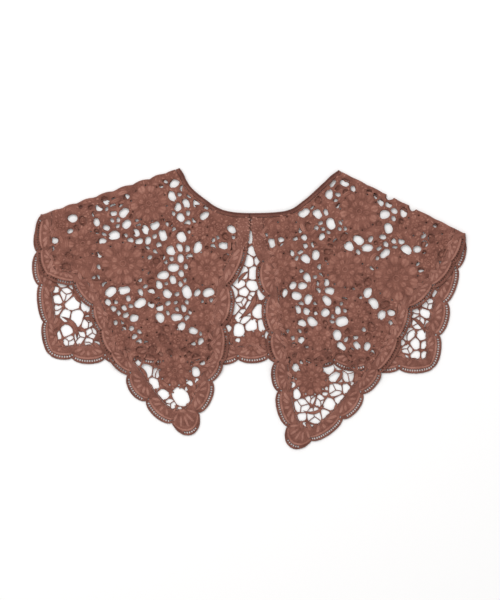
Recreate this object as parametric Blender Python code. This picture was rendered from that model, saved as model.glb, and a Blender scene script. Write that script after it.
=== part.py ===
"""Detachable lace collar, folded at both shoulders and laid flat on a table.

The square-ended back panel lies on the table. The two pointed front panels turn over
it at the shoulders, and their points come down to the table past the back's hem.
Tables hold millimetres, and a wall becomes metres when it is built. +X is to the right
as the collar is seen from above, +Y is towards the neck, and Z is up from the table.
Left and right are as seen from above.
"""

import math
import random
from collections import namedtuple

import bmesh
import bpy
import numpy as np
from mathutils.geometry import delaunay_2d_cdt

MM = 0.001

# The middle of the collar's footprint in the tables, which the finished part has at zero
MIDDLE = (-0.7, 1.0)

# The cloth: its thickness, the air between its two layers, and the seams
WALL = 1.0
LAYER_GAP = 0.8
SEAM = 0.3
BACK_RELIEF = 0.4
FRONT_RELIEF = 0.8
RIM_RELIEF = 0.5

# Widths of the neck band, of the edging inside its dips, and of the scallops' thick rim
BAND = 4.5
BORDER = 11.5
RIM_WIDTH = 2.6
LOBE_POINTS = 6
RIM_POINTS = 4
NECK_STEP = 8.0
SEAM_STEP = 9.0

# The turn at each shoulder, and the flange that reaches back under the front to the seam
FOLD_INNER = LAYER_GAP / 2
FOLD_MIDDLE = FOLD_INNER + WALL / 2
FOLD_OUTER = FOLD_INNER + WALL
FLANGE = 4.0
WRAP = math.pi * FOLD_MIDDLE + FLANGE
FOLD_STEPS = 4
LINE_CLEAR = 1.8
END_CLEAR = 1.0

# How the fronts come down to the table past the back's hem
FRONT_LEVEL = WALL + LAYER_GAP
HEM_CLEAR = 1.5
DROP_LENGTH = 15.0
DROP_STEPS = 4

# The lace ground: the bars between gaps, how far a gap reaches from its middle, how near
# gaps may be, and how many are cut
BAR = 1.7
GROUND_REACH = 4.5
REACH_SPREAD = (0.5, 1.2)
WIDE_REACH = 5.0
WIDE_LEAST = 0.85
SAME_PLACE = 1.0
REACH_MOST = 1.15
WIDE_MOST = 1.5
EDGE_BAR = 1.36
FLOWER_BAR = 0.4
FLOWER_KEEP = 0.55
NEAREST = 0.98
NEIGHBOURS = 4
ASIDE = 0.05
GAP_SIDES = 6
GAP_LEAST = 1.6
GAPS_CUT = {"back": 146, "left": 74, "right": 76}
DARTS = 16000

# The neck edge, from the left shoulder round to the right one
NECK = ((-69, 141.5), (-60, 123.5), (-43, 109.0), (-28, 100.0), (-5, 96.5),
        (35, 98.5), (53, 108.5), (70, 123.5), (87, 139.5))
CENTRE_FRONT = {"left": -0.4, "right": 0.2}

# Each shoulder's outline in the flat collar, from the neck to the outer end
SHOULDER = {"left": ((-70.0, 141.5), (-209.5, 94.5)), "right": ((88.0, 139.5), (215.5, 75.5))}

# A dip between two scallops, and how far the scallop that leads to it stands out
Dip = namedtuple("Dip", "x y lobe")
BACK_DIPS = [Dip(*row) for row in (
    (-207.5, 88.0, 0), (-212.0, 57.5, 6.5), (-210.5, 24.5, 6.8), (-206.0, -12.5, 4.5),
    (-200.0, -44.5, 5), (-178.0, -47.5, 4), (-145.0, -47.5, 7), (-112.0, -48.5, 7),
    (-79.0, -48.5, 7), (-45.0, -48.5, 7), (-12.0, -48.5, 7), (18.5, -47.0, 6),
    (51.0, -49.5, 7), (84.0, -52.5, 7), (117.0, -56.5, 7), (149.0, -58.5, 6),
    (183.0, -57.5, 6), (188.0, -25.5, 5.5), (196.0, 7.5, 7), (207.0, 41.5, 5.5),
    (213.0, 70.5, 6))]
FRONT_DIPS = {
    "left": [Dip(*row) for row in (
        (-209.0, 93.2, 0), (-211.0, 60.0, 5), (-204.0, 33.0, 5), (-177.0, 25.0, 3),
        (-159.0, 3.0, 4), (-151.0, -22.0, 4), (-141.0, -45.5, 4), (-121.0, -64.5, 5),
        (-103.0, -90.5, 9.4), (-78.0, -112.5, 7.5), (-52.0, -102.5, 19), (-39.0, -71.5, 8),
        (-28.0, -53.5, 4), (-26.0, -15.5, 6), (-21.0, 23.5, 8), (-4.0, 60.5, 5),
        (-1.6, 91.7, 2))],
    "right": [Dip(*row) for row in (
        (214.5, 74.3, 0), (204.0, 46.5, 4), (184.0, 22.5, 5), (161.0, 0.5, 5),
        (150.0, -30.5, 4), (130.0, -62.5, 5), (112.0, -83.5, 6), (92.0, -108.5, 7.7),
        (61.0, -130.5, 6.4), (38.0, -116.5, 17), (29.0, -81.5, 7), (26.0, -52.5, 6.5),
        (20.0, -23.5, 6), (17.0, 13.5, 7), (11.0, 47.5, 8), (3.2, 72.0, 3),
        (2.2, 91.7, 1.5))]}

# The lowest line that the back's scallops reach, where the fronts begin to come down
HEM_X = (-200, -160, 0, 120, 200)
HEM_Y = (-53.5, -54.5, -55.0, -61.5, -65.0)
HEM_SPAN = {"left": (-170.0, 0.0), "right": (0.0, 190.0)}
PAST_EDGE = 20.0

# Raised flowers: place, radius, number of petals and turn in degrees
Flower = namedtuple("Flower", "x y radius petals turn")
FLOWERS = {
    "left": [Flower(*row) for row in (
        (-101, 106, 19, 8, 10), (-127, 46, 22, 8, 0), (-43, 41, 18, 8, 20),
        (-43, -8, 15, 6, 5), (-75, -61, 16, 8, 15), (-167, 66, 15, 7, 30),
        (-189, 84, 8, 5, 0), (-50, 78, 9, 6, 0), (-131, -30, 11, 6, 40),
        (-100, -18, 9, 5, 0), (-72, -30, 9, 5, 30), (-32, 82, 8, 6, 10))],
    "right": [Flower(*row) for row in (
        (109, 98, 20, 8, 10), (95, 40, 19, 8, 0), (146, 31, 23, 8, 25),
        (31, 41, 16, 7, 20), (31, -6, 15, 6, 5), (61, -70, 16, 8, 15),
        (69, -29, 13, 6, 30), (37, 82, 11, 6, 0), (166, 84, 11, 6, 45),
        (109, -2, 12, 6, 20), (132, -32, 10, 6, 0), (196, 68, 9, 5, 10),
        (178, 48, 8, 5, 30))],
    "back": [Flower(*row) for row in (
        (3, -34, 13, 7, 12), (-83, -26, 13, 6, 0), (109, -6, 12, 6, 20),
        (136, -36, 13, 7, 0), (-184, 52, 13, 7, 25), (196, 62, 11, 6, 10),
        (-127, 44, 18, 8, 5), (96, 41, 16, 8, 15), (-42, 42, 14, 6, 0),
        (148, 32, 18, 8, 0))]}

# Open grounds, where the gaps are wide: middle, half width and height, and a gap's reach
Ground = namedtuple("Ground", "x y across down reach")
OPEN_GROUNDS = {
    "left": [Ground(*row) for row in (
        (-102, -64, 9, 20, 5.2), (-72, -88, 20, 10, 5.2), (-133, 88, 14, 16, 4.6),
        (-86, 52, 8, 24, 4.6), (-63, 20, 9, 18, 4.8), (-136, 12, 10, 12, 4.8),
        (-76, 128, 9, 9, 4.2))],
    "right": [Ground(*row) for row in (
        (88, -68, 11, 28, 5.2), (60, -98, 24, 10, 5.2), (82, 86, 9, 18, 4.6),
        (140, 66, 22, 14, 4.8), (106, 63, 16, 6, 4.8), (54, 22, 8, 30, 4.6),
        (92, -12, 8, 10, 4.6), (96, 127, 9, 7, 4.8))],
    "back": [Ground(*row) for row in (
        (-174, -4, 24, 38, 5.2), (172, -10, 22, 42, 5.0), (0, 24, 19, 56, 5.2),
        (-132, 88, 14, 16, 4.6), (-86, 52, 9, 28, 4.6), (-63, 16, 9, 22, 4.8),
        (84, 86, 10, 20, 4.6), (140, 66, 22, 14, 4.8), (54, 22, 9, 30, 4.6))]}

# The raised points of a petal: share of the flower's radius, turn in petals, share of the relief
PetalPoint = namedtuple("PetalPoint", "share turn lift")
PETAL_POINTS = [PetalPoint(*row) for row in ((0.6, 0.0, 1.0), (0.97, 0.0, 0.0), (0.74, 0.5, 0.0))]
EYE_LIFT = 0.7

# The wide gaps that show the table, through both layers where there are two: place and reach
Gap = namedtuple("Gap", "x y reach")
LIGHT_GAPS = [Gap(*row) for row in (
    (-195.5, 69, 4.2), (-126, 97, 5.2), (-135, 74, 5.6), (-120, 69, 3.6), (-111, 68, 3.8),
    (-102, 69, 3.6), (-87, 74, 5.2), (-79, 59, 5.2), (-87, 34, 5.4), (-63, 18, 6.0),
    (-139, 18, 5.4), (-126, 19, 5.4), (-110, 6, 5.6), (-52, 62, 6.0), (-41, 17, 5.2),
    (-56, -21, 4.6), (-77.5, 29.5, 4.2), (-91, 25, 4.4), (-45, 94, 4.6), (-72, 102, 4.6),
    (-64, 106, 4.4), (-83, 16, 4.6), (-18, 80, 4.4), (-144, 108, 4.2), (-104, -61, 6.4),
    (-97, -75, 5.8), (-69, -88, 7.0), (94.5, 127, 4.6), (79, 115, 4.8), (81, 85, 5.6),
    (99, 62, 5.6), (117, 62, 5.0), (135, 56, 5.0), (156, 60, 5.4), (57, 32, 4.8),
    (52, 24, 4.6), (92, -12, 5.8), (75, -3, 4.8), (46, 14, 4.8), (58, 10, 4.6), (48, 0, 4.4),
    (132, -5, 4.6), (107, -36, 4.2), (117, -37, 4.2), (90, -52, 7.4), (86, -68, 5.0),
    (85, -80, 6.4), (52, -97, 6.0), (64, -107, 7.0), (79, -95, 5.6), (47, -84, 4.6))]

# The share of the back's gaps that the fronts' gaps lie over
LINED_UP = 0.85

# Gaps that open at the right shoulder's fold: place and reach
NOTCHES = {"left": [], "right": [(140.0, 113.0, 4.6), (162.0, 101.6, 3.9)], "back": []}
GROUND_SEED = {"back": 11, "left": 23, "right": 37}

# Colours of the yarn, for the record of each piece
LACE_BROWN = (0.235, 0.105, 0.078, 1.0)
EDGING_BROWN = (0.255, 0.122, 0.093, 1.0)
BAND_BROWN = (0.205, 0.088, 0.066, 1.0)

Fold = namedtuple("Fold", "neck outer along inward length")


def shoulder_fold(side):
    """Where a shoulder's wall starts to bend: just inside the outline it ends up with."""
    neck = np.array(SHOULDER[side][0])
    outer = np.array(SHOULDER[side][1])
    length = np.linalg.norm(outer - neck)
    along = (outer - neck) / length
    inward = np.array((along[1], -along[0]))
    if inward[1] > 0:
        inward = -inward
    return Fold(neck + inward * FOLD_OUTER, outer + inward * FOLD_OUTER, along, inward, length)


FOLDS = {side: shoulder_fold(side) for side in SHOULDER}


def smooth_line(points, step):
    """A rounded line through a few points, with a point at about every step."""
    knots = [np.array(point, float) for point in points]
    ends = [2 * knots[0] - knots[1]] + knots + [2 * knots[-1] - knots[-2]]
    line = []
    for before, start, end, after in zip(ends, ends[1:], ends[2:], ends[3:]):
        count = max(1, round(np.linalg.norm(end - start) / step))
        for k in range(count):
            t = k / count
            bend = (2 * before - 5 * start + 4 * end - after) * t ** 2
            twist = (3 * start - before - 3 * end + after) * t ** 3
            line.append(0.5 * (2 * start + (end - before) * t + bend + twist))
    line.append(knots[-1])
    return np.array(line)


def shifted(line, distance):
    """A line moved sideways, to its left where the distance is positive."""
    ahead = np.vstack([line[1:] - line[:-1], line[-1:] - line[-2:-1]])
    behind = np.vstack([ahead[:1], ahead[:-1]])
    ahead = ahead / np.linalg.norm(ahead, axis=1)[:, None]
    behind = behind / np.linalg.norm(behind, axis=1)[:, None]
    way = ahead + behind
    way = way / np.linalg.norm(way, axis=1)[:, None]
    return line + distance * np.column_stack([-way[:, 1], way[:, 0]])


def scalloped(dips, outward, inset=0.0, count=LOBE_POINTS):
    """The scalloped edge. Outward is -1 where the lobes stand to the right of the line's way."""
    line = []
    for start, end in zip(dips, dips[1:]):
        first = np.array((start.x, start.y))
        last = np.array((end.x, end.y))
        way = (last - first) / np.linalg.norm(last - first)
        side = outward * np.array((-way[1], way[0]))
        for k in range(count):
            turn = math.pi * k / count
            share = (1 - math.cos(turn)) / 2
            depth = end.lobe * math.sin(turn) - inset
            line.append(first + (last - first) * share + side * depth)
    line.append(last - inset * side)
    return np.array(line)


def depth_in(fold, points):
    """How far points lie inside a shoulder's bend line."""
    return (np.asarray(points) - fold.neck) @ fold.inward


def from_fold(fold, along, line, starts):
    """A line's points below the shoulder, led by one straight stretch at the shoulder."""
    edge = fold.neck + fold.along * along
    lead = [edge + fold.inward * start for start in starts]
    clear = max(starts) + LINE_CLEAR
    return np.array(lead + [point for point in line if depth_in(fold, point) > clear])


def inside(outline, points):
    """Which points lie inside a closed outline, by counting the edges passed on the way out."""
    points = np.asarray(points)
    within = np.zeros(len(points), bool)
    for (ax, ay), (bx, by) in zip(outline, np.roll(outline, -1, axis=0)):
        crosses = (ay > points[:, 1]) != (by > points[:, 1])
        if ay != by:
            reach = ax + (points[:, 1] - ay) / (by - ay) * (bx - ax)
            within ^= crosses & (points[:, 0] < reach)
    return within


def edge_distance(outline, start, way):
    """How far a straight way from a point inside reaches before the outline."""
    a = np.asarray(outline)
    span = np.roll(a, -1, axis=0) - a
    cross = way[0] * span[:, 1] - way[1] * span[:, 0]
    cross = np.where(abs(cross) < 1e-9, 1e-9, cross)
    gap = a - start
    far = (gap[:, 0] * span[:, 1] - gap[:, 1] * span[:, 0]) / cross
    share = (gap[:, 0] * way[1] - gap[:, 1] * way[0]) / cross
    hits = far[(far > 0) & (share >= 0) & (share <= 1)]
    return hits.min() if len(hits) else 0.0


def ground_reach(part, points):
    """The reach of a gap at each point: wide in an open ground, and small elsewhere."""
    reach = np.full(len(points), GROUND_REACH)
    for ground in OPEN_GROUNDS[part]:
        across = (points[:, 0] - ground.x) / ground.across
        down = (points[:, 1] - ground.y) / ground.down
        reach[np.hypot(across, down) < 1] = ground.reach
    return reach


def clear_places(part, outline, places):
    """The places at which a gap stays inside the panel, off its folds and off its flowers."""
    places = places[inside(outline, places[:, :2])]
    for fold in FOLDS.values():
        places = places[depth_in(fold, places[:, :2]) > places[:, 2] + BAR]
    for flower in FLOWERS[part]:
        apart = np.hypot(places[:, 0] - flower.x, places[:, 1] - flower.y)
        places = places[apart > flower.radius + FLOWER_KEEP * places[:, 2]]
    return places


def gap_places(part, outline, shared):
    """Places of the gaps in the lace ground: wide and shared ones first, then the rest."""
    dice = random.Random(GROUND_SEED[part])
    low = outline.min(axis=0)
    high = outline.max(axis=0)
    darts = [(dice.uniform(low[0], high[0]), dice.uniform(low[1], high[1])) for _ in range(DARTS)]
    spread = np.array([dice.uniform(*REACH_SPREAD) for _ in range(DARTS)])
    darts = np.array(darts)
    reach = ground_reach(part, darts)
    wide = reach >= WIDE_REACH
    reach = reach * np.where(wide, np.maximum(spread, WIDE_LEAST), spread)
    darts = np.column_stack([darts, reach])
    darts = np.vstack([darts[wide], darts[~wide]])
    waiting = clear_places(part, outline, np.vstack([LIGHT_GAPS, shared, darts]))
    places = [np.array(place) for place in NOTCHES[part]]
    for place in places:
        waiting = apart_from(place, waiting)
    while len(waiting):
        places.append(waiting[0])
        waiting = apart_from(waiting[0], waiting)
    return np.array(places)


def apart_from(place, others):
    """The places that stand well apart from one place."""
    apart = np.hypot(others[:, 0] - place[0], others[:, 1] - place[1])
    return others[apart > NEAREST * (place[2] + others[:, 2])]


def gap_outline(part, outline, places, place, sides):
    """One gap, as wide as its neighbours, the flowers and the panel's edge leave it."""
    x, y, reach = place
    others = places[:, :2] - (x, y)
    apart = np.hypot(others[:, 0], others[:, 1])
    near = (apart > 0) & (apart < NEIGHBOURS * reach)
    flowers = np.array([(flower.x - x, flower.y - y) for flower in FLOWERS[part]])
    off = np.hypot(flowers[:, 0], flowers[:, 1])
    radii = np.array([flower.radius for flower in FLOWERS[part]])
    ways = np.vstack([others[near] / apart[near, None], flowers / off[:, None]])
    share = reach / (reach + places[near, 2])
    room = np.concatenate([apart[near] * share - BAR / 2, off - radii - FLOWER_BAR])
    wide = ground_reach(part, np.array([(x, y)]))[0] >= WIDE_REACH
    most = reach * (WIDE_MOST if wide else REACH_MOST)
    ring = []
    for k in range(sides):
        angle = 2 * math.pi * k / sides + x
        way = np.array((math.cos(angle), math.sin(angle)))
        far = min(most, edge_distance(outline, (x, y), way) - EDGE_BAR)
        towards = ways @ way
        ahead = towards > ASIDE
        far = min(far, (room[ahead] / towards[ahead]).min(initial=far))
        ring.append((x, y) + way * max(far, 0.0))
    return np.array(ring)


def area_of(ring):
    """The area inside a closed outline."""
    x, y = ring[:, 0], ring[:, 1]
    return 0.5 * abs(np.dot(x, np.roll(y, -1)) - np.dot(y, np.roll(x, -1)))


def narrowest(ring):
    """The shortest way from a gap's middle to its corners."""
    return np.linalg.norm(ring - ring.mean(axis=0), axis=1).min()


def widest_gaps(part, outline, places, below):
    """The gaps that are cut through the wall: the open grounds' first, then those that lie
    over a gap cut below, then by their size."""
    rings = [gap_outline(part, outline, places, place, GAP_SIDES) for place in places]
    rings = [ring for ring in rings if narrowest(ring) > GAP_LEAST]
    middles = np.array([ring.mean(axis=0) for ring in rings])
    wide = ground_reach(part, middles) >= WIDE_REACH
    apart = np.linalg.norm(middles[:, None] - below[None], axis=2).min(axis=1, initial=SAME_PLACE)
    areas = np.array([area_of(ring) for ring in rings])
    order = np.lexsort((-areas, apart >= SAME_PLACE, ~wide))
    return [rings[k] for k in order[:GAPS_CUT[part]]]


def flower_relief(part, height):
    """Raised points of the flowers: an eye, a ridge on each petal, and the dips between."""
    raised = []
    for flower in FLOWERS[part]:
        raised.append((flower.x, flower.y, EYE_LIFT * height))
        for k in range(flower.petals):
            for point in PETAL_POINTS:
                angle = math.radians(flower.turn) + 2 * math.pi * (k + point.turn) / flower.petals
                spot = point.share * flower.radius
                raised.append((flower.x + spot * math.cos(angle),
                               flower.y + spot * math.sin(angle), point.lift * height))
    return raised


def back_lay(x, y, height):
    """The back panel lies straight on the table."""
    return x, y, height


def front_lay(side):
    """How a front panel lies: over the back, round the shoulder, and down past the hem."""
    fold = FOLDS[side]

    def lay(x, y, height):
        depth = float(depth_in(fold, (x, y)))
        if depth >= 0:
            past = (np.interp(x, HEM_X, HEM_Y) - HEM_CLEAR - y) / DROP_LENGTH
            past = min(max(past, 0.0), 1.0)
            level = FRONT_LEVEL * (1 - past * past * (3 - 2 * past))
            return x, y, level + height
        radius = FOLD_INNER + height
        middle = WALL + FOLD_INNER
        foot = np.array((x, y)) - fold.inward * depth
        turn = -depth / FOLD_MIDDLE
        if turn < math.pi:
            foot = foot - fold.inward * radius * math.sin(turn)
            return foot[0], foot[1], middle + radius * math.cos(turn)
        foot = foot + fold.inward * (-depth - math.pi * FOLD_MIDDLE)
        return foot[0], foot[1], WALL - height

    return lay


def crease_lines(side):
    """Lines on which a front's wall bends: round the shoulder, and down past the hem."""
    fold = FOLDS[side]
    lines = []
    for k in range(FOLD_STEPS + 1):
        offset = -fold.inward * FOLD_MIDDLE * math.pi * k / FOLD_STEPS
        past = fold.along * PAST_EDGE
        lines.append((fold.neck - past + offset, fold.outer + past + offset))
    low, high = HEM_SPAN[side]
    for k in range(DROP_STEPS + 1):
        drop = HEM_CLEAR + DROP_LENGTH * k / DROP_STEPS
        lines.append(tuple((x, np.interp(x, HEM_X, HEM_Y) - drop) for x in (low, high)))
    return lines


def wall(name, outline, gaps, raised, creases, lay, colour):
    """One closed wall: a flat underside, and a top side that the raised points lift."""
    points = [tuple(p) for p in outline]
    edges = [(k, (k + 1) % len(outline)) for k in range(len(outline))]
    for ring in gaps:
        first = len(points)
        points += [tuple(p) for p in ring]
        edges += [(first + k, first + (k + 1) % len(ring)) for k in range(len(ring))]
    first_raised = len(points)
    points += [(x, y) for x, y, lift in raised]
    for start, end in creases:
        edges.append((len(points), len(points) + 1))
        points += [tuple(start), tuple(end)]
    flat, _, faces, sources, _, _ = delaunay_2d_cdt(points, edges, [], 0, 1e-4, True)
    flat = np.array([tuple(p) for p in flat])
    middles = np.array([flat[list(face)].mean(axis=0) for face in faces])
    kept = inside(outline, middles)
    for ring in gaps:
        kept &= ~inside(ring, middles)
    lift = [0.0] * len(flat)
    for k, source in enumerate(sources):
        for number in source:
            if first_raised <= number < first_raised + len(raised):
                lift[k] = raised[number - first_raised][2]

    cloth = bmesh.new()
    raise_by = cloth.verts.layers.float.new("raise")
    under = {}
    for face, good in zip(faces, kept):
        if good:
            for k in face:
                if k not in under:
                    under[k] = cloth.verts.new((flat[k][0], flat[k][1], 0.0))
                    under[k][raise_by] = lift[k]
            cloth.faces.new([under[k] for k in face])
    made = bmesh.ops.extrude_face_region(cloth, geom=cloth.faces[:], use_keep_orig=True)
    top = {item for item in made["geom"] if isinstance(item, bmesh.types.BMVert)}
    for vert in cloth.verts:
        height = WALL + vert[raise_by] if vert in top else 0.0
        x, y, z = lay(vert.co.x, vert.co.y, height)
        vert.co = [MM * float(value) for value in (x - MIDDLE[0], y - MIDDLE[1], z)]
    bmesh.ops.recalc_face_normals(cloth, faces=cloth.faces[:])
    mesh = bpy.data.meshes.new(name)
    cloth.to_mesh(mesh)
    cloth.free()
    mesh.materials.append(yarn_material(name, colour))
    piece = bpy.data.objects.new(name, mesh)
    collar.objects.link(piece)
    return piece


def yarn_material(name, colour):
    """Matt cotton yarn."""
    material = bpy.data.materials.new(name + "_yarn")
    material.use_nodes = True
    shader = material.node_tree.nodes["Principled BSDF"]
    shader.inputs["Base Color"].default_value = colour
    shader.inputs["Roughness"].default_value = 0.85
    shader.inputs["Metallic"].default_value = 0.0
    return material


def rim_relief(dips, outward, height):
    """The thick outer rim of the scallops and the low line inside it."""
    ridge = scalloped(dips, outward, RIM_WIDTH / 2, RIM_POINTS)
    dip = scalloped(dips, outward, RIM_WIDTH * 1.5, RIM_POINTS)
    raised = [(x, y, height) for x, y in ridge[1:-1]]
    return raised + [(x, y, 0.0) for x, y in dip[1:-1]]


def dip_points(dips):
    """The dips as plain points."""
    return np.array([(dip.x, dip.y) for dip in dips], float)


def build_back():
    """The back's band, lace and edging, flat on the table. Gives its gaps' places, and the
    middles of those that are cut."""
    starts = (FLANGE + SEAM,)
    left, right = FOLDS["left"], FOLDS["right"]
    neck = smooth_line(NECK, NECK_STEP)

    def across(line, along):
        head = from_fold(left, along, line, starts)
        tail = from_fold(right, along, line[::-1], starts)[::-1]
        keep = depth_in(right, head) > starts[0] + LINE_CLEAR
        return np.vstack([head[keep], tail[-1:]])

    band_top = across(neck, 0.0)
    band_low = across(shifted(neck, -BAND), BAND)
    lace_top = across(shifted(neck, -BAND - SEAM), BAND + SEAM)
    wall("back_neck_band", np.vstack([band_top, band_low[::-1]]), [], [], [], back_lay, BAND_BROWN)

    edge = scalloped(BACK_DIPS, -1)
    seam = smooth_line(shifted(dip_points(BACK_DIPS), BORDER), SEAM_STEP)
    seam_left = from_fold(left, left.length - BORDER, seam, starts)
    keep = depth_in(right, seam_left) > starts[0] + LINE_CLEAR
    end = right.neck + right.along * (right.length - BORDER) + right.inward * starts[0]
    seam_line = np.vstack([seam_left[keep], end])
    outer_seam = shifted(seam_line, -SEAM)
    outer_seam[0] = seam_line[0] + left.along * SEAM
    outer_seam[-1] = seam_line[-1] + right.along * SEAM
    corners = [fold.outer + fold.inward * starts[0] for fold in (left, right)]
    edge = np.vstack([corners[0], edge[1:-1], corners[1]])
    outline = np.vstack([edge, outer_seam[::-1]])
    rim = rim_relief(BACK_DIPS, -1, BACK_RELIEF)
    wall("back_edging", outline, [], rim, [], back_lay, EDGING_BROWN)

    outline = np.vstack([seam_line, lace_top[::-1]])
    places = gap_places("back", outline, np.empty((0, 3)))
    gaps = widest_gaps("back", outline, places, np.empty((0, 2)))
    relief = flower_relief("back", BACK_RELIEF)
    wall("back_lace", outline, gaps, relief, [], back_lay, LACE_BROWN)
    return places, np.array([ring.mean(axis=0) for ring in gaps])


def cut_at(line, x):
    """A line up to the place where it passes x, ending there."""
    forward = np.sign(line[-1][0] - line[0][0])
    order = np.argsort(line[:, 0])
    y = np.interp(x, line[order, 0], line[order, 1])
    return np.vstack([line[forward * (x - line[:, 0]) > END_CLEAR], (x, y)])


def build_front(side, shared, below):
    """One front's band, lace and edging, round its shoulder and down to its point."""
    fold = FOLDS[side]
    dips = FRONT_DIPS[side]
    outward = -1 if side == "left" else 1
    lay = front_lay(side)
    creases = crease_lines(side)
    starts = (-WRAP, 0.0)
    neck = smooth_line(NECK, NECK_STEP)
    if side == "right":
        neck = neck[::-1]

    band_top = cut_at(from_fold(fold, 0.0, neck, starts), CENTRE_FRONT[side])
    band_low = from_fold(fold, BAND, shifted(neck, outward * BAND), starts)
    band_low = cut_at(band_low, CENTRE_FRONT[side])
    outline = np.vstack([band_top, band_low[::-1]])
    wall(side + "_neck_band", outline, [], [], creases, lay, BAND_BROWN)

    under_band = from_fold(fold, BAND + SEAM, shifted(neck, outward * (BAND + SEAM)), starts)
    edge = from_fold(fold, fold.length, scalloped(dips, outward), starts)
    edge_end = cut_at(under_band, dips[-1].x)[-1]
    seam = smooth_line(shifted(dip_points(dips), -outward * BORDER), SEAM_STEP)
    seam = from_fold(fold, fold.length - BORDER, seam, starts)
    lace_top = cut_at(under_band, seam[-1][0])
    seam[-1] = lace_top[-1]
    outer_seam = shifted(seam, outward * SEAM)
    outer_seam[-1] = cut_at(under_band, seam[-1][0] - outward * SEAM)[-1]
    outer_seam[:2] = seam[:2] + fold.along * SEAM
    outline = np.vstack([edge[:-1], edge_end, outer_seam[::-1]])
    rim = [point for point in rim_relief(dips, outward, RIM_RELIEF)
           if depth_in(fold, point[:2]) > LINE_CLEAR and inside(outline, [point[:2]])[0]]
    wall(side + "_front_edging", outline, [], rim, creases, lay, EDGING_BROWN)

    outline = np.vstack([seam, lace_top[:-1][::-1]])
    places = gap_places(side, outline, shared)
    wall(side + "_front_lace", outline, widest_gaps(side, outline, places, below),
         flower_relief(side, FRONT_RELIEF), creases, lay, LACE_BROWN)


for old in list(bpy.data.objects):
    bpy.data.objects.remove(old, do_unlink=True)
collar = bpy.data.collections.new("lace_collar")
bpy.context.scene.collection.children.link(collar)
back_places, back_gaps = build_back()
dice = random.Random(GROUND_SEED["back"])
lined_up = np.array([place for place in back_places if dice.random() < LINED_UP])
build_front("left", lined_up, back_gaps)
build_front("right", lined_up, back_gaps)
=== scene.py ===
import math
import random
from collections import namedtuple

import bmesh
import bpy
import numpy as np
from mathutils.geometry import delaunay_2d_cdt
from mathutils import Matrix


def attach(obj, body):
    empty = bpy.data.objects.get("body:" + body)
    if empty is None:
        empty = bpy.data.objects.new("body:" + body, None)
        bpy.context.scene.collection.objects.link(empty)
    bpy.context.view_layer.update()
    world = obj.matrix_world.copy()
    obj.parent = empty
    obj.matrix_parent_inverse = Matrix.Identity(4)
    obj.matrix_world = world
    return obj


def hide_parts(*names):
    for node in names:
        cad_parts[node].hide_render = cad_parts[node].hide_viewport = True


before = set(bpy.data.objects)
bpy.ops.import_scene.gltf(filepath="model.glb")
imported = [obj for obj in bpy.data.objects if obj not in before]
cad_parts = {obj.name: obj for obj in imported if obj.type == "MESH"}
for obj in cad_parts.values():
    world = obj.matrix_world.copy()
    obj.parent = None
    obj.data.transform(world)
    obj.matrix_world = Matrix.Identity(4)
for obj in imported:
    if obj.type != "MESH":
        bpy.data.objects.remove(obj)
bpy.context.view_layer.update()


# The camera looks straight down on the collar, as it was photographed on a table.
# A long lens keeps the view flat, and one pixel of the picture is one millimetre.

CAMERA_HEIGHT = 2.5
PICTURE_HEIGHT = 0.6
camera_data = bpy.data.cameras.new("straight_down")
camera_data.sensor_width = 36.0
camera_data.lens = camera_data.sensor_width * CAMERA_HEIGHT / PICTURE_HEIGHT
camera = bpy.data.objects.new("straight_down", camera_data)
camera.location = (0.0007, 0.0085, CAMERA_HEIGHT)
bpy.context.scene.collection.objects.link(camera)
bpy.context.scene.camera = camera


# The table is a plain white board, and the light is a wide soft lamp from above and a
# little behind, with white walls all round.

TABLE_SIZE = 6.0
TABLE_TOP = -0.0004


def shader_node(nodes, kind, inputs):
    """A new node of a material, with some of its inputs set."""
    node = nodes.new("ShaderNode" + kind)
    for name, value in inputs.items():
        node.inputs[name].default_value = value
    return node


table_mesh = bpy.data.meshes.new("table")
corners = [(x * TABLE_SIZE / 2, y * TABLE_SIZE / 2, TABLE_TOP)
           for x, y in ((-1, -1), (1, -1), (1, 1), (-1, 1))]
table_mesh.from_pydata(corners, [], [(0, 1, 2, 3)])
table = bpy.data.objects.new("table", table_mesh)
bpy.context.scene.collection.objects.link(table)
board = bpy.data.materials.new("white_board")
board.use_nodes = True
board_nodes = board.node_tree.nodes
board_shader = board_nodes["Principled BSDF"]
board_shader.inputs["Roughness"].default_value = 0.9
board_shader.inputs["Specular IOR Level"].default_value = 0.1
speckle = shader_node(board_nodes, "TexNoise", {"Scale": 3.0})
whites = board_nodes.new("ShaderNodeMix")
whites.data_type = "RGBA"
whites.inputs["A"].default_value = (0.93, 0.925, 0.925, 1.0)
whites.inputs["B"].default_value = (0.95, 0.95, 0.95, 1.0)
board.node_tree.links.new(speckle.outputs["Fac"], whites.inputs["Factor"])
board.node_tree.links.new(whites.outputs["Result"], board_shader.inputs["Base Color"])
table_mesh.materials.append(board)

lamp_data = bpy.data.lights.new("soft_lamp", "AREA")
lamp_data.shape = "DISK"
lamp_data.size = 1.2
lamp_data.energy = 17.0
lamp = bpy.data.objects.new("soft_lamp", lamp_data)
lamp.location = (-0.5, 0.9, 1.6)
lamp.rotation_euler = (math.radians(-29), math.radians(-16), 0.0)
bpy.context.scene.collection.objects.link(lamp)

room = bpy.data.worlds.new("white_room")
room.use_nodes = True
walls = room.node_tree.nodes["Background"]
walls.inputs["Color"].default_value = (1.0, 0.995, 0.99, 1.0)
walls.inputs["Strength"].default_value = 0.77
bpy.context.scene.world = room
bpy.context.scene.view_settings.view_transform = "Standard"


# The back's lace ground is one layer of guipure: thick brown cotton stitched on a film that
# is washed away, so only bars between gaps are left. It lies flat on the table. Tables are
# in millimetres, measured on the collar as it lies.

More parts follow.
